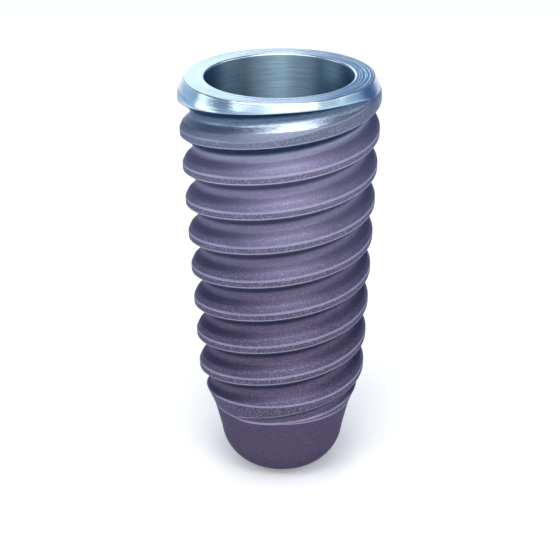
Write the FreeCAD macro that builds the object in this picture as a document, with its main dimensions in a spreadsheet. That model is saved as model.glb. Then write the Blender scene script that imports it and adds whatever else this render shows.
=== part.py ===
import FreeCAD, Part
import math
import os

import Sketcher
from FreeCAD import Placement, Rotation, Vector

# A screw-shaped dental implant, turned from one bar of titanium.
# The origin is the middle of the flat platform on top, +Z points up out of the mouth,
# and azimuth 0 is the front, -Y. Lengths are in millimetres and angles in degrees.

NODE = "implant_body"

# Alias, value and meaning of every driving size.
SIZES = [
    ("platform_radius", "1.90", "outer edge of the flat platform"),
    ("collar_radius", "2.05", "widest part, below the bevel"),
    ("bevel_height", "0.30", "platform edge down to the widest part"),
    ("collar_land", "0.17", "plain band below the bevel"),
    ("thread_length", "6.05", "collar band down to the last full crest"),
    ("body_slope", "0.052", "radius lost for each millimetre of threaded depth"),
    ("neck_height", "0.60", "last full crest down to the plain nose"),
    ("neck_radius", "1.46", "top of the plain nose"),
    ("nose_height", "0.65", "plain tapering part of the nose"),
    ("nose_radius", "1.30", "where the nose starts to round off"),
    ("tip_height", "0.88", "height of the rounded end"),
    ("tip_rounding", "0.95", "radius of the rounded end"),
    ("tip_radius", "0.45", "small flat at the very end"),
    ("crest_spacing", "0.74", "one crest down to the next"),
    ("thread_starts", "2", "grooves that wind side by side"),
    ("thread_depth", "0.235", "crest down to the root of the groove"),
    ("groove_top", "0.336", "middle of the groove below the platform, at the front"),
    ("groove_turns", "5", "turns of each groove below that point"),
    ("undercut_angle", "36", "lower face of a crest, from the horizontal"),
    ("root_radius", "0.145", "hollow at the bottom of the groove"),
    ("flank_angle", "47", "long upper face of a crest, from the axis"),
    ("facet_start", "0.15", "root out to the steeper band beside the crest"),
    ("facet_angle", "26", "that steeper band, from the axis"),
    ("cutter_reach", "0.45", "root out to the back of the cutter, clear of the metal"),
    ("runout_angle", "67", "turn over which a groove fades out in the bevel"),
    ("runout_rise", "0.155", "climb of the groove over that turn"),
    ("runout_lift", "0.20", "radius that the groove gains over that turn"),
    ("seat_radius", "1.50", "round socket that the abutment sits in"),
    ("seat_depth", "1.50", "platform down to the floor of the round socket"),
    ("mouth_break", "0.035", "edge break round the mouth"),
    ("hex_flats", "2.34", "hexagon that stops the abutment turning, across flats"),
    ("hex_depth", "1.40", "depth of the hexagon below the round socket"),
    ("relief_radius", "0.90", "relief between the hexagon and the screw bore"),
    ("relief_depth", "0.30", "depth of that relief"),
    ("screw_radius", "0.725", "wall of the screw bore"),
    ("screw_depth", "2.60", "length of the screw bore"),
    ("drill_angle", "118", "point angle of the drilled end"),
]


class Size:
    """A size as a number, together with the expression that ties it to the sheet."""

    def __init__(self, number, text):
        self.number = float(number)
        self.text = text

    def __float__(self):
        return self.number

    def join(self, other, sign, number):
        """Joins this size and another size or plain number with an arithmetic sign."""
        text = other.text if isinstance(other, Size) else str(other)
        return Size(number, f"({self.text} {sign} {text})")

    def __add__(self, other):
        return self.join(other, "+", self.number + float(other))

    def __sub__(self, other):
        return self.join(other, "-", self.number - float(other))

    def __mul__(self, other):
        return self.join(other, "*", self.number * float(other))

    def __truediv__(self, other):
        return self.join(other, "/", self.number / float(other))


def sine(angle):
    return Size(math.sin(math.radians(angle)), f"sin({angle.text} * 1 deg)")


def cosine(angle):
    return Size(math.cos(math.radians(angle)), f"cos({angle.text} * 1 deg)")


def tangent(angle):
    return Size(math.tan(math.radians(angle)), f"tan({angle.text} * 1 deg)")


def angle_of(slope):
    """The angle, in degrees, whose tangent is the slope."""
    return Size(math.degrees(math.atan(slope)), f"atan({slope.text})")


doc = FreeCAD.newDocument("dental_implant")
sheet = doc.addObject("Spreadsheet::Sheet", "sizes")
size = {}
for row, (alias, value, meaning) in enumerate(SIZES, start=1):
    sheet.set(f"A{row}", alias)
    sheet.set(f"B{row}", value)
    sheet.setAlias(f"B{row}", alias)
    sheet.set(f"C{row}", meaning)
    size[alias] = Size(value, f"{sheet.Name}.{alias}")
doc.recompute()

# Depths below the platform, and radii, that several features share.
collar_bottom = size["bevel_height"] + size["collar_land"]
thread_bottom = collar_bottom + size["thread_length"]
last_crest_radius = size["collar_radius"] - size["thread_length"] * size["body_slope"]
neck_depth = thread_bottom + size["neck_height"]
rounding_depth = neck_depth + size["nose_height"]
overall_length = rounding_depth + size["tip_height"]

lead = size["crest_spacing"] * size["thread_starts"]
groove_height = lead * size["groove_turns"]
groove_bottom = size["groove_top"] + groove_height
root_top = (
    size["collar_radius"]
    + (collar_bottom - size["groove_top"]) * size["body_slope"]
    - size["thread_depth"]
)
root_bottom = root_top - groove_height * size["body_slope"]

hex_bottom = size["seat_depth"] + size["hex_depth"]
relief_bottom = hex_bottom + size["relief_depth"]
screw_bottom = relief_bottom + size["screw_depth"]
drill_tip = screw_bottom + size["screw_radius"] / tangent(size["drill_angle"] / 2)


def origin_feature(body, role):
    """The body's own origin plane or axis of that role."""
    return next(item for item in body.Origin.OriginFeatures if item.Role == role)


def bind(sketch, rule, measure=None):
    """Adds a constraint, and ties its value to the sheet where it has one."""
    index = sketch.addConstraint(rule)
    if measure is not None:
        sketch.setExpression(f"Constraints[{index}]", measure.text)


def place_point(sketch, edge, end, radius, depth, upwards=False):
    """Holds one end of an edge at its radius and depth. None puts it on that axis."""
    if radius is None:
        bind(sketch, Sketcher.Constraint("PointOnObject", edge, end, -2))
    else:
        rule = Sketcher.Constraint("DistanceX", -1, 1, edge, end, float(radius))
        bind(sketch, rule, radius)
    if depth is None:
        bind(sketch, Sketcher.Constraint("PointOnObject", edge, end, -1))
    elif upwards:
        rule = Sketcher.Constraint("DistanceY", -1, 1, edge, end, float(depth))
        bind(sketch, rule, depth)
    else:
        rule = Sketcher.Constraint("DistanceY", edge, end, -1, 1, float(depth))
        bind(sketch, rule, depth)


def end_at(sketch, edge, spot):
    """Which end of the edge, 1 or 2, lies at the spot."""
    return min((1, 2), key=lambda end: sketch.getPoint(edge, end).distanceToPoint(spot))


def half_section(body, name, corners, arc_from=None, arc_radius=None):
    """Closed half section in the XZ plane, from corners of radius and depth.

    The edge that leaves corner number arc_from is an arc that bulges away from the axis.
    """
    sketch = body.newObject("Sketcher::SketchObject", name)
    sketch.AttachmentSupport = [(origin_feature(body, "XZ_Plane"), "")]
    sketch.MapMode = "FlatFace"
    spots = [Vector(float(radius or 0), -float(depth or 0), 0) for radius, depth in corners]
    following = spots[1:] + spots[:1]
    for index, (start, end) in enumerate(zip(spots, following)):
        if index == arc_from:
            chord = end - start
            sagitta = float(arc_radius) - math.sqrt(float(arc_radius) ** 2 - (chord.Length / 2) ** 2)
            outwards = Vector(-chord.y, chord.x, 0).normalize()
            edge = Part.Arc(start, (start + end) / 2 + outwards * sagitta, end)
        else:
            edge = Part.LineSegment(start, end)
        sketch.addGeometry(edge, False)
    for index, (spot, (radius, depth)) in enumerate(zip(spots, corners)):
        before = (index - 1) % len(spots)
        end = end_at(sketch, index, spot)
        rule = Sketcher.Constraint("Coincident", before, end_at(sketch, before, spot), index, end)
        bind(sketch, rule)
        place_point(sketch, index, end, radius, depth)
    if arc_from is not None:
        bind(sketch, Sketcher.Constraint("Radius", arc_from, float(arc_radius)), arc_radius)
    return sketch


def turned_blank(body):
    """The outside before threading: platform, bevel, collar, tapering body and round nose."""
    corners = [
        (None, None),
        (size["platform_radius"], None),
        (size["collar_radius"], size["bevel_height"]),
        (size["collar_radius"], collar_bottom),
        (last_crest_radius, thread_bottom),
        (size["neck_radius"], neck_depth),
        (size["nose_radius"], rounding_depth),
        (size["tip_radius"], overall_length),
        (None, overall_length),
    ]
    sketch = half_section(body, "outside_profile", corners, 6, size["tip_rounding"])
    blank = body.newObject("PartDesign::Revolution", "turned_blank")
    blank.Profile = sketch
    blank.ReferenceAxis = (sketch, ["V_Axis"])
    blank.Angle = 360
    doc.recompute()
    return blank


def turned_socket(body):
    """The stepped bore: edge break, round socket, relief and screw bore with a drilled end."""
    corners = [
        (None, None),
        (size["seat_radius"] + size["mouth_break"], None),
        (size["seat_radius"], size["mouth_break"]),
        (size["seat_radius"], size["seat_depth"]),
        (size["relief_radius"], size["seat_depth"]),
        (size["relief_radius"], relief_bottom),
        (size["screw_radius"], relief_bottom),
        (size["screw_radius"], screw_bottom),
        (None, drill_tip),
    ]
    sketch = half_section(body, "socket_profile", corners)
    socket = body.newObject("PartDesign::Groove", "turned_socket")
    socket.Profile = sketch
    socket.ReferenceAxis = (sketch, ["V_Axis"])
    socket.Angle = 360
    doc.recompute()
    return socket


def hexagon_pocket(body):
    """The hexagon below the round socket, with a flat facing the front."""
    sketch = body.newObject("Sketcher::SketchObject", "hexagon")
    sketch.AttachmentSupport = [(origin_feature(body, "XY_Plane"), "")]
    sketch.MapMode = "FlatFace"
    sketch.setExpression("AttachmentOffset.Base.z", f"-{size['seat_depth'].text}")
    corner_radius = size["hex_flats"] / 2 / cosine(Size(30, "30"))
    spots = [
        Vector(float(corner_radius) * math.cos(turn), float(corner_radius) * math.sin(turn), 0)
        for turn in (math.radians(60 * corner) for corner in range(6))
    ]
    for start, end in zip(spots, spots[1:] + spots[:1]):
        sketch.addGeometry(Part.LineSegment(start, end), False)
    circle = sketch.addGeometry(Part.Circle(Vector(), Vector(0, 0, 1), float(corner_radius)), True)
    bind(sketch, Sketcher.Constraint("Coincident", circle, 3, -1, 1))
    bind(sketch, Sketcher.Constraint("Radius", circle, float(corner_radius)), corner_radius)
    for side in range(6):
        bind(sketch, Sketcher.Constraint("Coincident", side, 2, (side + 1) % 6, 1))
        bind(sketch, Sketcher.Constraint("PointOnObject", side, 2, circle))
        if side:
            bind(sketch, Sketcher.Constraint("Equal", 0, side))
    bind(sketch, Sketcher.Constraint("PointOnObject", 0, 1, -1))
    pocket = body.newObject("PartDesign::Pocket", "hexagon_pocket")
    pocket.Profile = sketch
    pocket.setExpression("Length", size["hex_depth"].text)
    doc.recompute()
    return pocket


def arc_middle(centre, first, last):
    """The point halfway along the arc from first to last about the centre."""
    spoke = (first - centre) + (last - centre)
    return centre + spoke.normalize() * first.distanceToPoint(centre)


def groove_section(name, root, depth, azimuth):
    """Cutter outline in the plane through the axis at that azimuth.

    The centre of the root's hollow lies at the given depth, and the hollow's two arcs meet
    at its bottom. Tangents leave them for the undercut above and for the long flank below,
    which turns into the steeper facet before it passes the crest.
    """
    hollow = size["root_radius"]
    back = root + size["cutter_reach"]
    knee = root + size["facet_start"]
    lean = size["undercut_angle"]
    flank = size["flank_angle"]
    undercut_end = hollow * cosine(lean) + (
        size["cutter_reach"] - hollow + hollow * sine(lean)
    ) * tangent(lean)
    knee_drop = hollow * sine(flank) + (
        size["facet_start"] - hollow + hollow * cosine(flank)
    ) / tangent(flank)
    facet_drop = knee_drop + (size["cutter_reach"] - size["facet_start"]) / tangent(
        size["facet_angle"]
    )

    middle = Vector(float(root + hollow), 0, 0)
    upper_touch = middle + Vector(-float(sine(lean)), float(cosine(lean)), 0) * float(hollow)
    lower_touch = middle - Vector(float(cosine(flank)), float(sine(flank)), 0) * float(hollow)
    upper_back = Vector(float(back), float(undercut_end), 0)
    lower_back = Vector(float(back), -float(facet_drop), 0)
    knee_spot = Vector(float(knee), -float(knee_drop), 0)

    sketch = doc.addObject("Sketcher::SketchObject", name)
    root_spot = middle - Vector(float(hollow), 0, 0)
    upper_arc, lower_arc = (
        sketch.addGeometry(Part.Arc(touch, arc_middle(middle, touch, root_spot), root_spot), False)
        for touch in (upper_touch, lower_touch)
    )
    lines = [
        sketch.addGeometry(Part.LineSegment(start, end), False)
        for start, end in (
            (lower_touch, knee_spot),
            (knee_spot, lower_back),
            (lower_back, upper_back),
            (upper_back, upper_touch),
        )
    ]
    long_flank, facet, rear, undercut = lines
    upper_end = end_at(sketch, upper_arc, upper_touch)
    lower_end = end_at(sketch, lower_arc, lower_touch)
    bind(sketch, Sketcher.Constraint("Coincident", upper_arc, 3, lower_arc, 3))
    bind(sketch, Sketcher.Constraint("Coincident", upper_arc, 3 - upper_end, lower_arc, 3 - lower_end))
    bind(sketch, Sketcher.Constraint("PointOnObject", upper_arc, 3 - upper_end, -1))
    bind(sketch, Sketcher.Constraint("Tangent", lower_arc, lower_end, long_flank, 1))
    bind(sketch, Sketcher.Constraint("Tangent", upper_arc, upper_end, undercut, 2))
    bind(sketch, Sketcher.Constraint("Coincident", long_flank, 2, facet, 1))
    bind(sketch, Sketcher.Constraint("Coincident", facet, 2, rear, 1))
    bind(sketch, Sketcher.Constraint("Coincident", rear, 2, undercut, 1))
    bind(sketch, Sketcher.Constraint("Radius", upper_arc, float(hollow)), hollow)
    place_point(sketch, upper_arc, 3, root + hollow, None)
    place_point(sketch, long_flank, 2, knee, knee_drop)
    place_point(sketch, facet, 2, back, facet_drop)
    place_point(sketch, rear, 2, back, undercut_end, upwards=True)

    upright = Rotation(Vector(1, 0, 0), 90)
    turn = Rotation(Vector(0, 0, 1), azimuth)
    sketch.Placement = Placement(Vector(0, 0, -float(depth)), turn.multiply(upright))
    sketch.setExpression("Placement.Base.z", f"-{depth.text}")
    return sketch


def helix(name, climb, height, radius, cone_angle, depth, azimuth):
    """Right-hand conical helix that starts at that depth and azimuth and climbs."""
    path = doc.addObject("Part::Helix", name)
    path.SegmentLength = 1
    path.setExpression("Pitch", climb.text)
    path.setExpression("Height", height.text)
    path.setExpression("Radius", radius.text)
    path.setExpression("Angle", cone_angle.text)
    path.Placement = Placement(Vector(0, 0, -float(depth)), Rotation(Vector(0, 0, 1), azimuth))
    path.setExpression("Placement.Base.z", f"-{depth.text}")
    return path


def sweep_upright(outline, path):
    """Solid swept by the outline along the path, and the outline as it ends there.

    Neither kind of sweep object keeps the outline upright on a conical helix, so the pipe
    shell itself is used, with its binormal held on the axis.
    """
    shell = Part.BRepOffsetAPI.MakePipeShell(Part.Wire(path.Shape.Edges))
    shell.setBiNormalMode(Vector(0, 0, 1))
    shell.add(outline, False, False)
    shell.build()
    last_outline = Part.Wire(shell.lastShape().Edges)
    shell.makeSolid()
    solid = shell.shape()
    if solid.Volume < 0:
        solid.reverse()
    return solid, last_outline


def groove_cutter(start):
    """Cutter of one start: the long groove, and the lift in which it fades out in the bevel."""
    azimuth = -90 + start * 360 / float(size["thread_starts"])
    section = groove_section(f"groove_section_{start}", root_bottom, groove_bottom, azimuth)
    long_path = helix(
        f"groove_path_{start}",
        lead,
        groove_height,
        root_bottom,
        angle_of(size["body_slope"]),
        groove_bottom,
        azimuth,
    )
    lift_path = helix(
        f"runout_path_{start}",
        size["runout_rise"] * 360 / size["runout_angle"],
        size["runout_rise"],
        root_top,
        angle_of(size["runout_lift"] / size["runout_rise"]),
        size["groove_top"],
        azimuth,
    )
    doc.recompute()
    groove, outline = sweep_upright(Part.Wire(section.Shape.Edges), long_path)
    lift, _ = sweep_upright(outline, lift_path)
    tool = doc.addObject("Part::Feature", f"groove_cutter_{start}")
    tool.Shape = groove.fuse(lift)
    return tool


def check_smaller(feature, volume_before):
    """Stops the build if a cut took nothing away, and returns the new volume."""
    volume = feature.Shape.Volume
    print(f"{feature.Name}: {volume:.4f} mm3")
    if not volume < volume_before - 1e-4:
        raise RuntimeError(f"{feature.Name} cut nothing")
    return volume


body = doc.addObject("PartDesign::Body", "turned_body")
doc.recompute()
volume = turned_blank(body).Shape.Volume
volume = check_smaller(turned_socket(body), volume)
volume = check_smaller(hexagon_pocket(body), volume)

threaded = body
for start in range(int(float(size["thread_starts"]))):
    cut = doc.addObject("Part::Cut", f"groove_cut_{start}")
    cut.Base = threaded
    cut.Tool = groove_cutter(start)
    doc.recompute()
    volume = check_smaller(cut, volume)
    threaded = cut
threaded.Label = NODE

for item in doc.Objects:
    if "Invalid" in item.State or "Error" in item.State:
        raise RuntimeError(f"{item.Name} failed: {item.State}")
shape = threaded.Shape
if shape.isNull() or not shape.isValid() or len(shape.Solids) != 1:
    raise RuntimeError(f"{NODE} is not one valid solid")

os.makedirs("parts", exist_ok=True)
shape.exportStep(f"parts/{NODE}.step")
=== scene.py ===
"""A screw-shaped dental implant on a pale floor.

Lengths in the drawing of the shape are millimetres, turned into metres where its mesh is
made. Lengths in the shading, the lights and the floor are metres. The origin is the middle of
the platform, +Z points out of the mouth and the front is -Y.
"""

import math

import bpy
import numpy as np
from mathutils import Matrix, Vector


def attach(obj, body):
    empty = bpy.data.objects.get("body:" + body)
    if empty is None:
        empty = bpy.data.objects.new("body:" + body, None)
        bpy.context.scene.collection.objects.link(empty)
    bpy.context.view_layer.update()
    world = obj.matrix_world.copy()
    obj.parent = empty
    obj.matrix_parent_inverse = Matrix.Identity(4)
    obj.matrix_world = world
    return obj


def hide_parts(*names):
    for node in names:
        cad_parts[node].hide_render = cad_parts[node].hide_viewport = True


MM = 0.001

# Body outline: slope of the bevel, then each change of slope with its depth and softness.
PLATFORM_RADIUS = 1.90
BEVEL_SLOPE = 0.5
BODY_SLOPE = 0.052
NECK_SLOPE = 0.459
NOSE_SLOPE = 0.2462
BENDS = (
    (0.30, -BEVEL_SLOPE, 0.05),
    (0.47, -BODY_SLOPE, 0.05),
    (6.52, BODY_SLOPE - NECK_SLOPE, 0.08),
    (7.12, NECK_SLOPE - NOSE_SLOPE, 0.12),
)
NOSE_DEPTH = 7.77
NOSE_RADIUS = 1.30
END_DEPTH = 8.65
END_RADIUS = 0.45
END_ROUNDING = 0.95
END_STEPS = 16
POLE_RING = 0.22

# Rounding of the platform's rim: its radius, how far its middle lies inside the platform's
# edge, and the depth at which it runs into the bevel.
RIM_ROUNDING = 0.02
RIM_SETBACK = 0.01235
RIM_END = 0.011

# Thread: two starts, the section of the groove and the lift in which it fades out.
LEAD = 1.48
GROOVE_TOP = 0.336
ROOT_TOP = 1.822
HOLLOW = 0.145
GROOVE_DEPTH = 0.235
UNDERCUT = math.radians(36)
FLANK = math.radians(47)
FACET = math.radians(26)
FACET_START = 0.15
LIFT_TURN = 67
LIFT_RISE = 0.155
LIFT_OUT = 0.20
LIFT_SOFTNESS = 10
GROOVES = 11

# Heights above a groove's middle between which its edges are sought, and how many are tried.
EDGE_SEARCH = (0.40, -0.60, 4001)

# Painted shade in each groove's hollow, under the crest above it. A row's place in it is 0 at the
# foot and 1 at the top, which are heights above the groove's middle. A groove's upper edge takes the
# place of the height that is given last.
SHADE_FOOT = -0.13
SHADE_TOP = 0.14
SHADE_EDGE = -0.06

# Mesh: columns in half a turn, width of the edge rows and softness of the crest's edges.
HALF_TURN = 120
EDGE_ROW = 0.012
EDGE_SOFTNESS = 0.010

# Narrowest groove and land that hold edge rows of full width.
FULL_GROOVE = 0.12
FULL_LAND = 0.10

# Shares of the way at which rows stand from the rim to the first groove, across each land, and
# from the last groove to the rounded end.
COLLAR_SHARES = (0, 0.17, 0.33, 0.5, 0.67, 0.83, 1)
LAND_SHARES = (0, 0.25, 0.5, 0.75, 1)
NOSE_SHARES = (0.04, 0.12, 0.22, 0.34, 0.46, 0.58, 0.70, 0.85, 1)

# Points that agree to this length are welded, and edges above this angle stay sharp.
WELD = 1e-5
SHARP_ANGLE = math.radians(38)

# Turns past a groove's end over which the crest below it takes on the ring's turned finish.
RING_TURNS = (60, 105)

# Socket.
SEAT_RADIUS = 1.50
MOUTH_BREAK = 0.035
SEAT_DEPTH = 1.50
HEX_APOTHEM = 1.17
HEX_DEPTH = 2.90
RELIEF_RADIUS = 0.90
RELIEF_DEPTH = 3.20
SCREW_RADIUS = 0.725
SCREW_DEPTH = 5.80
DRILL_DEPTH = 6.2356

# Depths of further rows on the socket's walls, and radii of those across the platform.
SCREW_MIDDLE = 4.5
HEX_MIDDLE = 2.2
BORE_ROWS = (1.46, 1.1, 0.75, 0.4, 0.1)
PLATFORM_ROWS = (1.56, 1.62, 1.69, 1.76, 1.83, 1.87)

# Material slots of the one mesh.
RIM, PLATFORM, COLLAR, FLANKS, FACETS, EDGES, CRESTS, NOSE, BORE, SOCKET = range(10)

# The ring's finish, the pale colour of worn peaks, and tints of metal seen at a low angle, the
# last of which paints shade on the walls of the bore and the socket.
RING_COLOUR = (0.58, 0.76, 0.90, 1)
RING_ROUGHNESS = 0.18
PALE = (0.86, 0.90, 0.98, 1)
WHITE = (1, 1, 1, 1)
GRAZING = (0.55, 0.56, 0.66, 1)
# Painted shade: a dark tint at a low angle that darkens the bore's sides.
BORE_SHADE_TINT = (0.25, 0.32, 0.42, 1)

# Heights between which the collar's tint gives way to the thread's, with the climb of that
# limit across the front, and heights between which the end's tint sets in.
COLLAR_STEP = (-0.00085, -0.00120)
CREST_CLIMB = 0.14
END_STEP = (-0.0002, -0.0055)

# The painted shade, a deep tint in the hollow, sets in over this much of the hollow, which also
# shifts by as much on the thread, where it loses this share of its strength.
SHADE_STEP = 0.50
SHADE_LOSS = 0.4

# Colours of each finish on the collar, on the thread and towards the rounded end. Those of the
# rim, flanks, facets, crests and edges also carry painted light and shade, as said above each.
STEEL = {
    "Collar": RING_COLOUR,
    "Thread": (0.55, 0.60, 0.75, 1),
    "End": (0.35, 0.28, 0.5, 1),
}
# Painted highlight: the rim's rounded edges are painted paler than the ring's steel on the collar.
HIGHLIT_RIM_STEEL = {
    "Collar": (0.80, 0.90, 0.98, 1),
    "Thread": (0.55, 0.60, 0.75, 1),
    "End": (0.35, 0.28, 0.5, 1),
}
# Painted light: the flanks, which face up, are painted lighter than the facets and crests of the same
# blasted metal.
LIT_FLANK_TINT = {
    "Collar": (0.40, 0.47, 0.59, 1),
    "Thread": (0.245, 0.225, 0.35, 1),
    "End": (0.10, 0.08, 0.145, 1),
}
# Painted shade: the facets are painted darker than the flanks of the same blasted metal on the collar
# and thread.
SHADED_FACET_TINT = {
    "Collar": (0.19, 0.21, 0.30, 1),
    "Thread": (0.20, 0.18, 0.30, 1),
    "End": (0.10, 0.08, 0.15, 1),
}
# Painted shade: the crests and the rounded end, which face down, are painted darkest of the blasted
# metal.
SHADED_CREST_TINT = {
    "Collar": (0.14, 0.155, 0.23, 1),
    "Thread": (0.14, 0.13, 0.21, 1),
    "End": (0.085, 0.065, 0.12, 1),
}
# Painted highlight: the crests' edges are painted lighter than the crests, as edges catching the
# light; where they lie in a hollow they also take its painted shade.
HIGHLIT_EDGE_TINT = {
    "Collar": (0.24, 0.28, 0.38, 1),
    "Thread": (0.35, 0.335, 0.47, 1),
    "End": (0.25, 0.225, 0.34, 1),
}
TEAL = {
    "Collar": (0.27, 0.43, 0.54, 1),
    "Thread": (0.20, 0.32, 0.42, 1),
    "End": (0.12, 0.16, 0.25, 1),
}

# Turned lines and how often they break, and grains, all for each metre.
FINE = {"Lines": 26000, "Breaks": 400}
LONG = {"Lines": 62000, "Breaks": 1600}
GRAIN = {"Grain": 45000}
STIPPLE = {"Grain": 60000}

# Walls round the implant: degrees from the front, colour, and height at which they darken.
WALLS = (
    (-180, (0.18, 0.28, 0.44), 0.50),
    (-140, (0.46, 0.60, 0.76), 0.20),
    (-105, (0.46, 0.60, 0.74), 0.20),
    (-55, (0.46, 0.56, 0.66), 0.46),
    (-25, (0.76, 0.80, 0.86), 0.60),
    (0, (0.85, 0.90, 0.95), 0.60),
    (35, (0.92, 0.94, 0.96), 0.60),
    (65, (0.90, 0.94, 0.98), 0.48),
    (92, (0.56, 0.71, 0.87), 0.34),
    (118, (0.05, 0.10, 0.25), 0.32),
    (150, (0.10, 0.17, 0.34), 0.40),
    (180, (0.18, 0.28, 0.44), 0.50),
)
WALL_FADE = 0.07
UPPER_WALL = (0.11, 0.14, 0.20, 1)

# Strip of ceiling: its colour, the heights between which it starts and the distances aside
# between which it ends, all of directions of length one.
CEILING = (0.75, 0.77, 0.82, 1)
CEILING_START = (0.82, 0.95)
CEILING_SIDES = (0.38, 0.14)

# Soft lights: name, azimuth, elevation, width and height in degrees, brightness, colour and
# distance. LIGHT_AIM is the height on the implant's axis that they face.
LIGHTS = (
    ("overhead", -4, 76, 18, 40, 5.9, (1.0, 0.99, 0.97), 0.15),
    ("front_high", -8, 48, 84, 16, 3.9, (1.0, 1.0, 1.0), 0.15),
    ("front", 3, 29, 34, 10, 1.4, (1.0, 1.0, 1.0), 0.15),
    ("left", -91, 13, 30, 10, 2.2, (0.92, 0.97, 1.0), 0.15),
    ("right", 92, 30, 26, 10, 2.0, (0.92, 0.97, 1.0), 0.15),
    ("back_left", 190, 22, 26, 34, 1.0, (0.95, 0.98, 1.0), 0.016),
)
LIGHT_AIM = -0.001

# Floor: half its width, the gap under the rounded end, its colour and a faint glow of its own.
FLOOR_REACH = 0.4
FLOOR_GAP = 0.00002
FLOOR_COLOUR = (0.97, 0.97, 0.96, 1)
FLOOR_ROUGHNESS = 0.9
FLOOR_GLOW = 0.2

# Camera: lens, sensor and place in millimetres, angles in degrees, and the nearest and
# farthest that it sees in metres.
LENS = 109.2
SENSOR = 36
CAMERA_PLACE = (-0.02, -32.55, 9.85)
CAMERA_PITCH = 23.73
CAMERA_ROLL = -0.45
CAMERA_RANGE = (0.002, 2.0)


def outline_radius(depth):
    """Body radius before threading: a straight bevel, plus each change of slope times a
    hyperbola that rises from nought to the distance past its bend."""
    radius = PLATFORM_RADIUS + BEVEL_SLOPE * depth
    for bend, change, softness in BENDS:
        past = depth - bend
        radius = radius + change * (past + np.sqrt(past**2 + softness**2)) / 2
    return radius


def groove_line(turn):
    """Depth and root radius of a groove's middle, by degrees past its end at the top.

    Both are straight lines of the turn, with one slope before the end and another after it,
    joined by a hyperbola."""
    past = (turn + np.sqrt(turn**2 + LIFT_SOFTNESS**2)) / 2
    climb = LEAD / 360
    depth = GROOVE_TOP - climb * turn + (climb - LIFT_RISE / LIFT_TURN) * past
    gain = BODY_SLOPE * climb
    root = ROOT_TOP + gain * turn + (LIFT_OUT / LIFT_TURN - gain) * past
    return depth, root


# Heights above the groove's middle at which the hollow meets the undercut and the flank, and
# at which the flank meets the facet.
TOUCH_UP = HOLLOW * math.cos(UNDERCUT)
TOUCH_DOWN = -HOLLOW * math.sin(FLANK)
KNEE = TOUCH_DOWN - (FACET_START - HOLLOW * (1 - math.cos(FLANK))) / math.tan(FLANK)

# Height above the groove's middle and slot of each row that keeps to the groove's section.
GROOVE_ROWS = (
    (0.190, FLANKS), (TOUCH_UP, FLANKS), (0.085, FLANKS), (0.045, FLANKS), (0.0, FLANKS),
    (-0.045, FLANKS), (-0.085, FLANKS), (TOUCH_DOWN, FLANKS), (-0.155, FLANKS),
    (KNEE + 0.008, FACETS), (KNEE - 0.008, FACETS), (-0.245, FACETS), (-0.290, FACETS),
)


def groove_rise(height):
    """Radius gained from the root, by height above the groove's middle: an undercut line, a
    round hollow, the long flank and the steeper facet, each tangent or joined to the next."""
    hollow = HOLLOW - np.sqrt(np.maximum(HOLLOW**2 - height**2, 0))
    undercut = HOLLOW * (1 - math.sin(UNDERCUT)) + (height - TOUCH_UP) / math.tan(UNDERCUT)
    flank = HOLLOW * (1 - math.cos(FLANK)) + (TOUCH_DOWN - height) * math.tan(FLANK)
    facet = FACET_START + (KNEE - height) * math.tan(FACET)
    lower = np.where(height > KNEE, flank, facet)
    return np.where(height > TOUCH_UP, undercut, np.where(height > TOUCH_DOWN, hollow, lower))


def groove_edges(turns):
    """Depth and root radius of every groove's middle, and depths of its two edges, column by
    column.

    The edges are where the groove's section crosses the body outline, found between the
    steps of a fine scale of heights. A groove that stays outside the body has both edges in
    one line, which runs on to the edge of the next groove at the seam between half turns."""
    starts = 180 * np.arange(GROOVES)[:, None]
    middle, root = groove_line(turns[None, :] - starts)
    heights = np.linspace(*EDGE_SEARCH)
    depths = np.maximum(middle[..., None] - heights, 0)
    outside = root[..., None] + groove_rise(heights) - outline_radius(depths)
    bites = outside.min(-1) < 0
    inside = outside < 0
    first = np.maximum(inside.argmax(-1), 1)
    last = np.minimum(len(heights) - 1 - inside[..., ::-1].argmax(-1), len(heights) - 2)

    def crossing(before, after):
        gap_before = np.take_along_axis(outside, before[..., None], -1)[..., 0]
        gap_after = np.take_along_axis(outside, after[..., None], -1)[..., 0]
        share = gap_before / np.where(bites, gap_before - gap_after, 1)
        return heights[before] + (heights[after] - heights[before]) * share

    closest = heights[outside.argmin(-1)]
    upper = middle - np.where(bites, crossing(first - 1, first), closest)
    lower = middle - np.where(bites, crossing(last + 1, last), closest)
    fade_out = turns[bites[0]].max()
    fade_in = turns[bites[-1]].min()
    out = turns > fade_out
    tip_out = upper[0][turns == fade_out][0] / 2 + lower[0][turns == fade_out][0] / 2
    upper[0][out] = np.interp(turns[out], [fade_out, 180], [tip_out, upper[0][0]])
    lower[0][out] = upper[0][out]
    before = turns < fade_in
    tip_in = upper[-1][turns == fade_in][0] / 2 + lower[-1][turns == fade_in][0] / 2
    upper[-1][before] = np.interp(turns[before], [0, fade_in], [lower[-2][0], tip_in])
    lower[-1][before] = upper[-1][before]
    return middle, root, upper, lower


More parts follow.
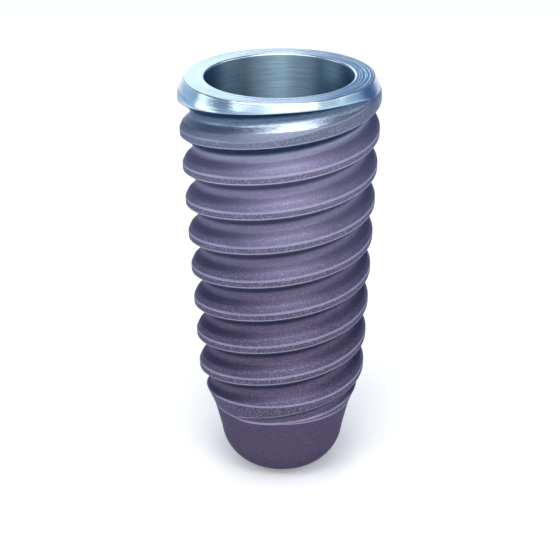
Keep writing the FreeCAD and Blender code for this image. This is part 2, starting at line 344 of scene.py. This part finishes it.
def thread_rows(turns, middle, upper, lower):
    """Depth of every row of the threaded side, column by column, each row's slot and place in
    the painted shade of the hollow, and which rows lie between the bevel and the second groove.

    Rows keep to the features of each groove, so that its edges stay sharp, and close up
    where the groove is too narrow to hold them. Between grooves they share out the land. The
    place in the painted shade of the hollow falls evenly from 1 at the undercut's middle to 0 on
    the flank."""
    rows = []
    slots = []
    shade_places = []

    # Each row's height gives its place in the painted shade of the hollow.
    def add(depth, slot, height=SHADE_FOOT):
        place = (height - SHADE_FOOT) / (SHADE_TOP - SHADE_FOOT)
        rows.append(np.broadcast_to(depth, turns.shape))
        slots.append(slot)
        shade_places.append(min(max(place, 0.0), 1.0))

    base = upper[0] - 3 * EDGE_ROW
    for share in COLLAR_SHARES:
        add(RIM_END + (base - RIM_END) * share, COLLAR)
    add(upper[0] - 2 * EDGE_ROW, COLLAR)
    add(upper[0] - EDGE_ROW, COLLAR)

    bounds = []
    for index in range(GROOVES):
        bounds.append(len(rows))
        top = middle[index] - upper[index]
        bottom = middle[index] - lower[index]
        edge = EDGE_ROW * np.minimum(1, (top - bottom) / FULL_GROOVE)
        if index:
            add(upper[index], EDGES, SHADE_EDGE)
        else:
            add(upper[index], FLANKS, SHADE_TOP)
        add(upper[index] + edge, FLANKS, SHADE_TOP)
        add(upper[index] + 2 * edge, FLANKS, SHADE_TOP)
        lowest = bottom + 3 * edge
        highest = np.maximum(top - 3 * edge, lowest)
        for height, slot in GROOVE_ROWS:
            add(middle[index] - np.clip(height, lowest, highest), slot, height)
        for count in (2, 1, 0):
            add(lower[index] - count * edge, EDGES)
        if index + 1 < GROOVES:
            width = upper[index + 1] - lower[index]
            edge = EDGE_ROW * np.minimum(1, width / FULL_LAND)
            first = lower[index] + 3 * edge
            last = upper[index + 1] - 3 * edge
            add(lower[index] + edge, EDGES)
            add(lower[index] + 2 * edge, CRESTS)
            for share in LAND_SHARES:
                add(first + (last - first) * share, CRESTS)
            add(upper[index + 1] - 2 * edge, EDGES)
            add(upper[index + 1] - edge, EDGES)

    below = lower[-1]
    add(below + EDGE_ROW, EDGES)
    for share in NOSE_SHARES:
        add(below + (NOSE_DEPTH - below) * share, NOSE)
    return np.array(rows), slots, np.array(shade_places), slice(*bounds[:2])


def threaded_side(turns):
    """Radius, depth, hollow, turned share and slot of every row of the threaded side, the
    hollow being the row's share of painted shade.

    The radius is the smaller of the body outline and the nearest groove's section, joined by
    a hyperbola as wide as the crest's edge. The hollow is the row's share of painted shade, from
    its place in the hollow, and fades where the groove is shallower than a tenth of its full
    depth. The turned share rises by a smooth step where the first crest widens into the ring."""
    middle, root, upper, lower = groove_edges(turns)
    depths, slots, shade_places, ring_rows = thread_rows(turns, middle, upper, lower)
    body = outline_radius(depths)
    groove = np.full_like(depths, np.inf)
    for index in range(GROOVES):
        section = root[index] + groove_rise(middle[index] - depths)
        groove = np.minimum(groove, section)
    radii = (body + groove) / 2 - np.sqrt((body - groove) ** 2 + EDGE_SOFTNESS**2) / 2
    # Painted shade in the groove's hollow, by each row's place in it.
    hollow = shade_places[:, None] * np.clip(10 * (body - radii) / GROOVE_DEPTH, 0, 1)
    share = np.clip((turns - RING_TURNS[0]) / (RING_TURNS[1] - RING_TURNS[0]), 0, 1)
    turned = np.zeros_like(depths)
    turned[ring_rows] = share**2 * (3 - 2 * share)
    return radii, depths, hollow, turned, slots


def implant_rows():
    """Radius, depth, hollow, turned share and slot of every row of half a turn, from the end of
    the screw bore up over the platform and down the thread to the pole of the rounded end. The
    hollow is each row's share of painted shade.

    Straight walls and floors are rows at set radii and depths, rounded edges and the rounded
    end are arcs, and the hexagon's radius is its apothem over the cosine of the angle to the
    middle of the nearest flat."""
    turns = np.linspace(0, 180, HALF_TURN + 1)
    even = np.ones_like(turns)
    rows = []

    def ring(radius, depth, slot):
        rows.append((radius * even, depth * even, 0 * even, 0 * even, slot))

    hexagon = HEX_APOTHEM / np.cos(np.radians((turns + 30) % 60 - 30))
    ring(0, DRILL_DEPTH, SOCKET)
    for depth in (SCREW_DEPTH, SCREW_MIDDLE, RELIEF_DEPTH):
        ring(SCREW_RADIUS, depth, SOCKET)
    ring(RELIEF_RADIUS, RELIEF_DEPTH, SOCKET)
    ring(RELIEF_RADIUS, HEX_DEPTH, SOCKET)
    for depth in (HEX_DEPTH, HEX_MIDDLE, SEAT_DEPTH):
        ring(hexagon, depth, SOCKET)
    ring(SEAT_RADIUS, SEAT_DEPTH, BORE)
    for depth in BORE_ROWS:
        ring(SEAT_RADIUS, depth, BORE)
    centre = SEAT_RADIUS + MOUTH_BREAK
    for angle in np.radians((0, 15, 30, 45, 60, 75)):
        ring(
            centre - MOUTH_BREAK * math.cos(angle),
            MOUTH_BREAK * (1 - math.sin(angle)),
            RIM,
        )
    for radius in (centre, *PLATFORM_ROWS):
        ring(radius, 0, PLATFORM)
    for angle in np.radians((0, 16, 32, 48, 63.4)):
        ring(
            PLATFORM_RADIUS - RIM_SETBACK + RIM_ROUNDING * math.sin(angle),
            RIM_ROUNDING * (1 - math.cos(angle)),
            RIM,
        )

    # The side's first row stands where the rim's last one does, so it is left out.
    rows += zip(*(part[1:] for part in threaded_side(turns)))

    chord = np.array([END_RADIUS - NOSE_RADIUS, END_DEPTH - NOSE_DEPTH])
    length = np.hypot(*chord)
    reach = math.sqrt(END_ROUNDING**2 - (length / 2) ** 2)
    middle = np.array([END_RADIUS + NOSE_RADIUS, END_DEPTH + NOSE_DEPTH]) / 2
    centre = middle + reach * np.array([-chord[1], chord[0]]) / length
    first = math.atan2(NOSE_DEPTH - centre[1], NOSE_RADIUS - centre[0])
    last = math.atan2(END_DEPTH - centre[1], END_RADIUS - centre[0])
    for angle in np.linspace(first, last, END_STEPS + 1)[1:]:
        ring(
            centre[0] + END_ROUNDING * math.cos(angle),
            centre[1] + END_ROUNDING * math.sin(angle),
            NOSE,
        )
    ring(POLE_RING, END_DEPTH, NOSE)
    ring(0, END_DEPTH, NOSE)
    return turns, rows


def closed_mesh(name, turns, rows):
    """One closed mesh from the rows of half a turn and the same rows turned by 180 degrees.

    A point is radius times the sine and minus the cosine of its turn, and minus its depth.
    Points that coincide are welded, which closes the seams and poles, and faces left without
    area by rows that closed up are dropped. Each point keeps its hollow, which is its share of
    painted shade, and its turned share as attributes."""
    radii, depths, hollow, turned, slots = (np.array(part) for part in zip(*rows))
    grids = []
    for offset in (0, 180):
        angle = np.radians(turns + offset)
        grids.append(np.stack([radii * np.sin(angle), -radii * np.cos(angle), -depths], -1))
    points = np.concatenate([grid.reshape(-1, 3) for grid in grids])
    keys = np.round(points / WELD).astype(np.int64)
    _, keep, number = np.unique(keys, axis=0, return_index=True, return_inverse=True)
    count, width = radii.shape
    base = (np.arange(count - 1)[:, None] * width + np.arange(width - 1)).ravel()
    quads = np.stack([base, base + width, base + width + 1, base + 1], -1)
    face_slots = np.repeat(slots[:-1], width - 1)
    quads = np.concatenate([quads, quads + count * width])
    face_slots = np.concatenate([face_slots, face_slots])
    quads = number.ravel()[quads]
    fresh = quads != np.roll(quads, 1, axis=1)
    whole = fresh.sum(1) >= 3
    quads, face_slots, fresh = quads[whole], face_slots[whole], fresh[whole]
    sizes = fresh.sum(1)
    loops = quads[fresh]

    mesh = bpy.data.meshes.new(name)
    mesh.vertices.add(len(keep))
    mesh.vertices.foreach_set("co", (points[keep] * MM).ravel())
    mesh.loops.add(len(loops))
    mesh.loops.foreach_set("vertex_index", loops.astype(np.int32))
    mesh.polygons.add(len(sizes))
    mesh.polygons.foreach_set("loop_start", (np.cumsum(sizes) - sizes).astype(np.int32))
    mesh.polygons.foreach_set("material_index", face_slots.astype(np.int32))
    mesh.update(calc_edges=True)
    mesh.validate()
    # The hollow attribute carries the painted shade of the grooves.
    for label, values in (("hollow", hollow), ("turned", turned)):
        layer = mesh.attributes.new(label, "FLOAT", "POINT")
        values = np.tile(values.ravel(), 2)[keep]
        layer.data.foreach_set("value", values.astype(np.float32))
    mesh.shade_smooth()
    mesh.set_sharp_from_angle(angle=SHARP_ANGLE)
    piece = bpy.data.objects.new(name, mesh)
    bpy.context.scene.collection.objects.link(piece)
    return piece


def node(tree, kind, inputs=None, **settings):
    """A shader node with its settings, and a constant or a link for each named input."""
    made = tree.nodes.new(kind)
    for key, value in settings.items():
        setattr(made, key, value)
    for key, value in (inputs or {}).items():
        if isinstance(value, bpy.types.NodeSocket):
            tree.links.new(value, made.inputs[key])
        else:
            made.inputs[key].default_value = value
    return made


def maths(tree, operation, first, second=0.0, third=0.0):
    """Result of one arithmetic node; MULTIPLY_ADD is first times second plus third."""
    inputs = {0: first, 1: second, 2: third}
    return node(tree, "ShaderNodeMath", inputs, operation=operation).outputs[0]


def step(tree, value, start, end):
    """Smooth step from 0 at start to 1 at end."""
    inputs = {"Value": value, "From Min": start, "From Max": end}
    made = node(tree, "ShaderNodeMapRange", inputs, interpolation_type="SMOOTHSTEP")
    return made.outputs[0]


def mixed(tree, share, first, second):
    """Colour mixed from two by the share of the second."""
    made = node(tree, "ShaderNodeMix", {0: share, 6: first, 7: second}, data_type="RGBA")
    return made.outputs[2]


def effect(name, inputs, outputs):
    """An empty shader node group with its inputs' starting values, and its two end nodes."""
    tree = bpy.data.node_groups.new(name, "ShaderNodeTree")
    for label, kind, value in inputs:
        tree.interface.new_socket(label, in_out="INPUT", socket_type=kind).default_value = value
    for label, kind in outputs:
        tree.interface.new_socket(label, in_out="OUTPUT", socket_type=kind)
    return tree, tree.nodes.new("NodeGroupInput").outputs, tree.nodes.new("NodeGroupOutput").inputs


def turned_lines():
    """Fine lines left by turning: noise of the distance from the axis plus the height, which
    stays nearly the same all the way round, and the pale lines at its peaks."""
    tree, given, out = effect(
        "turned_lines",
        [("Lines", "NodeSocketFloat", 20000.0), ("Breaks", "NodeSocketFloat", 900.0)],
        [("Height", "NodeSocketFloat"), ("Pale", "NodeSocketFloat")],
    )
    place = node(tree, "ShaderNodeTexCoord").outputs["Object"]
    parts = node(tree, "ShaderNodeSeparateXYZ", {0: place}).outputs
    flat = node(tree, "ShaderNodeCombineXYZ", {"X": parts["X"], "Y": parts["Y"]}).outputs[0]
    radius = node(tree, "ShaderNodeVectorMath", {0: flat}, operation="LENGTH").outputs["Value"]
    across = maths(tree, "MULTIPLY", maths(tree, "ADD", radius, parts["Z"]), given["Lines"])
    along = maths(tree, "MULTIPLY", parts["X"], given["Breaks"])
    behind = maths(tree, "MULTIPLY", parts["Y"], given["Breaks"])
    vector = node(tree, "ShaderNodeCombineXYZ", {"X": across, "Y": along, "Z": behind}).outputs[0]
    inputs = {"Vector": vector, "Scale": 1.0, "Detail": 2.0}
    noise = node(tree, "ShaderNodeTexNoise", inputs).outputs[0]
    tree.links.new(noise, out["Height"])
    tree.links.new(step(tree, noise, 0.40, 0.68), out["Pale"])
    return tree


def blasted_grain():
    """Grain left by blasting: fine noise in all directions, and the pale specks at its peaks."""
    tree, given, out = effect(
        "blasted_grain",
        [("Grain", "NodeSocketFloat", 45000.0)],
        [("Height", "NodeSocketFloat"), ("Pale", "NodeSocketFloat")],
    )
    place = node(tree, "ShaderNodeTexCoord").outputs["Object"]
    inputs = {"Vector": place, "Scale": given["Grain"], "Detail": 1.0}
    noise = node(tree, "ShaderNodeTexNoise", inputs).outputs[0]
    tree.links.new(noise, out["Height"])
    tree.links.new(step(tree, noise, 0.48, 0.72), out["Pale"])
    return tree


def finish_tint():
    """Colour, roughness and relief by height and by painted shade in the hollow.

    The colour is one on the collar and its first turn, one on the thread and one towards the
    rounded end, mixed by smooth steps, and a deep one painted into the hollow of the groove as
    shade, stronger and further down the flank at the collar. The first step follows a plane
    tilted as the crest climbs across the front, and roughness gains the matt value below it. The
    turned share brings in the ring's bright colour and roughness, and takes the relief away."""
    tree, given, out = effect(
        "finish_tint",
        [
            ("Collar", "NodeSocketColor", (0.5, 0.6, 0.7, 1)),
            ("Thread", "NodeSocketColor", (0.3, 0.3, 0.4, 1)),
            ("End", "NodeSocketColor", (0.2, 0.15, 0.3, 1)),
            ("Painted_shade", "NodeSocketColor", (0.032, 0.082, 0.145, 1)),
            ("Shade_share", "NodeSocketFloat", 0.0),
            ("Rough", "NodeSocketFloat", 0.3),
            ("Matt", "NodeSocketFloat", 0.0),
        ],
        [
            ("Color", "NodeSocketColor"),
            ("Roughness", "NodeSocketFloat"),
            ("Relief", "NodeSocketFloat"),
        ],
    )
    place = node(tree, "ShaderNodeTexCoord").outputs["Object"]
    parts = node(tree, "ShaderNodeSeparateXYZ", {0: place}).outputs
    climb = maths(tree, "MULTIPLY", parts["X"], -CREST_CLIMB)
    upper = step(tree, maths(tree, "ADD", parts["Z"], climb), *COLLAR_STEP)
    lower = step(tree, parts["Z"], *END_STEP)
    thread = mixed(tree, upper, given["Collar"], given["Thread"])
    colour = mixed(tree, lower, thread, given["End"])
    # Painted shade: a deep colour mixed into the groove's hollow by the hollow attribute.
    hollow = node(tree, "ShaderNodeAttribute", attribute_name="hollow").outputs["Fac"]
    start = maths(tree, "MULTIPLY", upper, SHADE_STEP)
    end = maths(tree, "MULTIPLY_ADD", upper, SHADE_STEP, SHADE_STEP)
    strength = maths(tree, "MULTIPLY_ADD", upper, -SHADE_LOSS, 1.0)
    shade = maths(tree, "MULTIPLY", step(tree, hollow, start, end), given["Shade_share"])
    shade = maths(tree, "MULTIPLY", shade, strength)
    colour = mixed(tree, shade, colour, given["Painted_shade"])
    turned = node(tree, "ShaderNodeAttribute", attribute_name="turned").outputs["Fac"]
    relief = maths(tree, "SUBTRACT", 1.0, turned)
    rough = maths(tree, "MULTIPLY_ADD", upper, given["Matt"], given["Rough"])
    rough = maths(tree, "MULTIPLY", rough, relief)
    rough = maths(tree, "MULTIPLY_ADD", turned, RING_ROUGHNESS, rough)
    tree.links.new(mixed(tree, turned, colour, RING_COLOUR), out["Color"])
    tree.links.new(rough, out["Roughness"])
    tree.links.new(relief, out["Relief"])
    return tree


def placed(tree, group, values):
    """The effect's group in a material, with that material's own values."""
    made = node(tree, "ShaderNodeGroup", node_tree=group)
    for key, value in values.items():
        made.inputs[key].default_value = value
    return made.outputs


def metal(
    name, roughness, tint, root, relief, values, depth, pale, stretch=0.0, matt=0.0, edge=WHITE
):
    """A metal finish: the tint by height and by painted shade in the hollow, mixed with the pale
    colour at the peaks of its relief, which is turned lines or blasted grain of the given depth
    in metres.

    Root is the share of the painted shade, a deep colour, in the hollow, and pale the share of
    the pale one at the peaks. Stretch is how far the lines draw out its reflections across
    themselves, matt is the roughness that it gains below the first turn, and edge is its tint
    where it is seen at a low angle."""
    material = bpy.data.materials.new(name)
    material.use_nodes = True
    tree = material.node_tree
    surface = tree.nodes["Principled BSDF"]
    surface.inputs["Metallic"].default_value = 1.0
    surface.inputs["Specular Tint"].default_value = edge
    surface.inputs["Anisotropic"].default_value = stretch
    surface.inputs["Anisotropic Rotation"].default_value = 0.25
    # root is the share of painted shade in the groove's hollow.
    finish = placed(tree, EFFECTS["tint"], dict(tint, Shade_share=root, Rough=roughness, Matt=matt))
    texture = placed(tree, EFFECTS[relief], values)
    share = maths(tree, "MULTIPLY", texture["Pale"], pale)
    share = maths(tree, "MULTIPLY", share, finish["Relief"])
    colour = mixed(tree, share, finish["Color"], PALE)
    height = maths(tree, "MULTIPLY", texture["Height"], finish["Relief"])
    inputs = {"Strength": 1.0, "Distance": depth, "Height": height}
    bump = node(tree, "ShaderNodeBump", inputs)
    tree.links.new(colour, surface.inputs["Base Color"])
    tree.links.new(finish["Roughness"], surface.inputs["Roughness"])
    tree.links.new(bump.outputs[0], surface.inputs["Normal"])
    return material


def soft_box(name, azimuth, elevation, width, height, brightness, colour, distance):
    """A soft light that faces the implant from that direction; its width and height are seen
    from the implant in degrees, and its power is its brightness times its area and pi."""
    data = bpy.data.lights.new(name, "AREA")
    data.shape = "RECTANGLE"
    data.size = 2 * distance * math.tan(math.radians(width / 2))
    data.size_y = 2 * distance * math.tan(math.radians(height / 2))
    data.energy = brightness * math.pi * data.size * data.size_y
    data.color = colour
    light = bpy.data.objects.new(name, data)
    turn, lift = math.radians(azimuth), math.radians(elevation)
    level = math.cos(lift)
    away = Vector((math.sin(turn) * level, -math.cos(turn) * level, math.sin(lift)))
    light.location = Vector((0, 0, LIGHT_AIM)) + away * distance
    light.rotation_mode = "QUATERNION"
    light.rotation_quaternion = away.to_track_quat("Z", "Y")
    light.visible_camera = False
    bpy.context.scene.collection.objects.link(light)


def surroundings():
    """Studio walls and ceiling: walls coloured by direction round the implant, paler in front
    and at the left and deeper blue at the right, darker above the height that goes with each
    direction, and a pale strip of ceiling from front to back."""
    world = bpy.data.worlds.new("studio")
    bpy.context.scene.world = world
    world.use_nodes = True
    tree = world.node_tree
    direction = node(tree, "ShaderNodeTexCoord").outputs["Generated"]
    parts = node(tree, "ShaderNodeSeparateXYZ", {0: direction}).outputs
    behind = maths(tree, "MULTIPLY", parts["Y"], -1.0)
    angle = maths(tree, "ARCTAN2", parts["X"], behind)
    turn = maths(tree, "MULTIPLY_ADD", angle, 0.5 / math.pi, 0.5)
    ramp = node(tree, "ShaderNodeValToRGB", {"Fac": turn})
    stops = ramp.color_ramp.elements
    while len(stops) < len(WALLS):
        stops.new(0.5)
    for stop, (degrees, colour, top) in zip(stops, WALLS):
        stop.position = degrees / 360 + 0.5
        stop.color = (*colour, top)
    past = maths(tree, "SUBTRACT", parts["Z"], ramp.outputs["Alpha"])
    above = step(tree, past, -WALL_FADE, WALL_FADE)
    aside = maths(tree, "ABSOLUTE", parts["X"])
    ceiling = step(tree, parts["Z"], *CEILING_START)
    ceiling = maths(tree, "MULTIPLY", ceiling, step(tree, aside, *CEILING_SIDES))
    colour = mixed(tree, above, ramp.outputs["Color"], UPPER_WALL)
    colour = mixed(tree, ceiling, colour, CEILING)
    background = tree.nodes["Background"]
    tree.links.new(colour, background.inputs["Color"])
    background.inputs["Strength"].default_value = 1.0


def floor():
    """A plain pale floor just below the rounded end."""
    mesh = bpy.data.meshes.new("floor")
    level = -END_DEPTH * MM - FLOOR_GAP
    signs = ((-1, -1), (1, -1), (1, 1), (-1, 1))
    points = [(FLOOR_REACH * x, FLOOR_REACH * y, level) for x, y in signs]
    mesh.from_pydata(points, [], [(0, 1, 2, 3)])
    material = bpy.data.materials.new("floor_pale")
    material.use_nodes = True
    surface = material.node_tree.nodes["Principled BSDF"]
    surface.inputs["Base Color"].default_value = FLOOR_COLOUR
    surface.inputs["Roughness"].default_value = FLOOR_ROUGHNESS
    surface.inputs["Emission Color"].default_value = WHITE
    surface.inputs["Emission Strength"].default_value = FLOOR_GLOW
    mesh.materials.append(material)
    made = bpy.data.objects.new("floor", mesh)
    bpy.context.scene.collection.objects.link(made)


def camera():
    """Camera at the photo's viewing angle: 23.7 degrees down, with a slight roll."""
    data = bpy.data.cameras.new("camera")
    data.lens = LENS
    data.sensor_width = SENSOR
    data.clip_start, data.clip_end = CAMERA_RANGE
    made = bpy.data.objects.new("camera", data)
    pitch, roll = math.radians(CAMERA_PITCH), math.radians(CAMERA_ROLL)
    forward = Vector((0, math.cos(pitch), -math.sin(pitch)))
    up = Vector((0, math.sin(pitch), math.cos(pitch)))
    right = Vector((1, 0, 0)) * math.cos(roll) + up * math.sin(roll)
    up = up * math.cos(roll) - Vector((1, 0, 0)) * math.sin(roll)
    frame_axes = Matrix((right, up, -forward)).transposed().to_4x4()
    made.matrix_world = Matrix.Translation(Vector(CAMERA_PLACE) * MM) @ frame_axes
    bpy.context.scene.collection.objects.link(made)
    bpy.context.scene.camera = made


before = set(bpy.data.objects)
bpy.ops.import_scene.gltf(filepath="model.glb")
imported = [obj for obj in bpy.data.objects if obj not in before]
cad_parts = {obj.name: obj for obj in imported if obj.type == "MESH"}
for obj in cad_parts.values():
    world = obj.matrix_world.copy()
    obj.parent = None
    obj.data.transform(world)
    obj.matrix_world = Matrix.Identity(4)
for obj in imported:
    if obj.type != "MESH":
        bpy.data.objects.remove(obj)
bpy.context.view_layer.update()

EFFECTS = {"lines": turned_lines(), "grain": blasted_grain(), "tint": finish_tint()}

implant = closed_mesh("implant", *implant_rows())
# Name, roughness, tint, root, relief with its values and depth, and pale share. Root is the
# share of painted shade in the hollow, and the tints of the rim, flanks, facets, edges, crests
# and rounded end carry painted light and shade.
finishes = {
    # The rim's paler tint is a painted highlight on its rounded edges.
    RIM: metal("rim_painted_highlight", 0.20, HIGHLIT_RIM_STEEL, 0, "lines", FINE, 0.5e-6, 0.1),
    PLATFORM: metal("turned_platform", 0.22, STEEL, 0, "lines", FINE, 1.5e-5, 0.35),
    COLLAR: metal("turned_collar", RING_ROUGHNESS, STEEL, 0, "grain", STIPPLE, 1.2e-6, 0.08),
    # Flanks painted lighter, facets, crests and the rounded end painted darker, as light falls on the
    # blasted metal.
    FLANKS: metal(
        "blasted_flank_painted_light", 0.27, LIT_FLANK_TINT, 0.90, "grain", GRAIN, 6.5e-6, 0.09, matt=0.24, edge=GRAZING
    ),
    FACETS: metal("blasted_facet_painted_shade", 0.46, SHADED_FACET_TINT, 0, "grain", GRAIN, 6e-6, 0.15, edge=GRAZING),
    # Painted highlight on the crests' edges.
    EDGES: metal("blasted_edge_painted_highlight", 0.36, HIGHLIT_EDGE_TINT, 0.9, "grain", GRAIN, 3e-6, 0.15, edge=GRAZING),
    CRESTS: metal("blasted_crest_painted_shade", 0.48, SHADED_CREST_TINT, 0, "grain", GRAIN, 8e-6, 0.22, edge=GRAZING),
    NOSE: metal("blasted_nose_painted_shade", 0.50, SHADED_CREST_TINT, 0, "grain", GRAIN, 5e-6, 0.06, edge=GRAZING),
    # Painted shade on the bore's and the socket's walls, by their dark tint at a low angle.
    BORE: metal("turned_bore", 0.50, TEAL, 0, "lines", LONG, 3e-6, 0.2, stretch=0.95, edge=BORE_SHADE_TINT),
    SOCKET: metal("turned_socket", 0.36, TEAL, 0, "lines", LONG, 3e-6, 0.2, edge=BORE_SHADE_TINT),
}
for slot in sorted(finishes):
    implant.data.materials.append(finishes[slot])
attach(implant, "root")
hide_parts("implant_body")

surroundings()
floor()
for light in LIGHTS:
    soft_box(*light)
camera()
bpy.context.scene.view_settings.view_transform = "Standard"
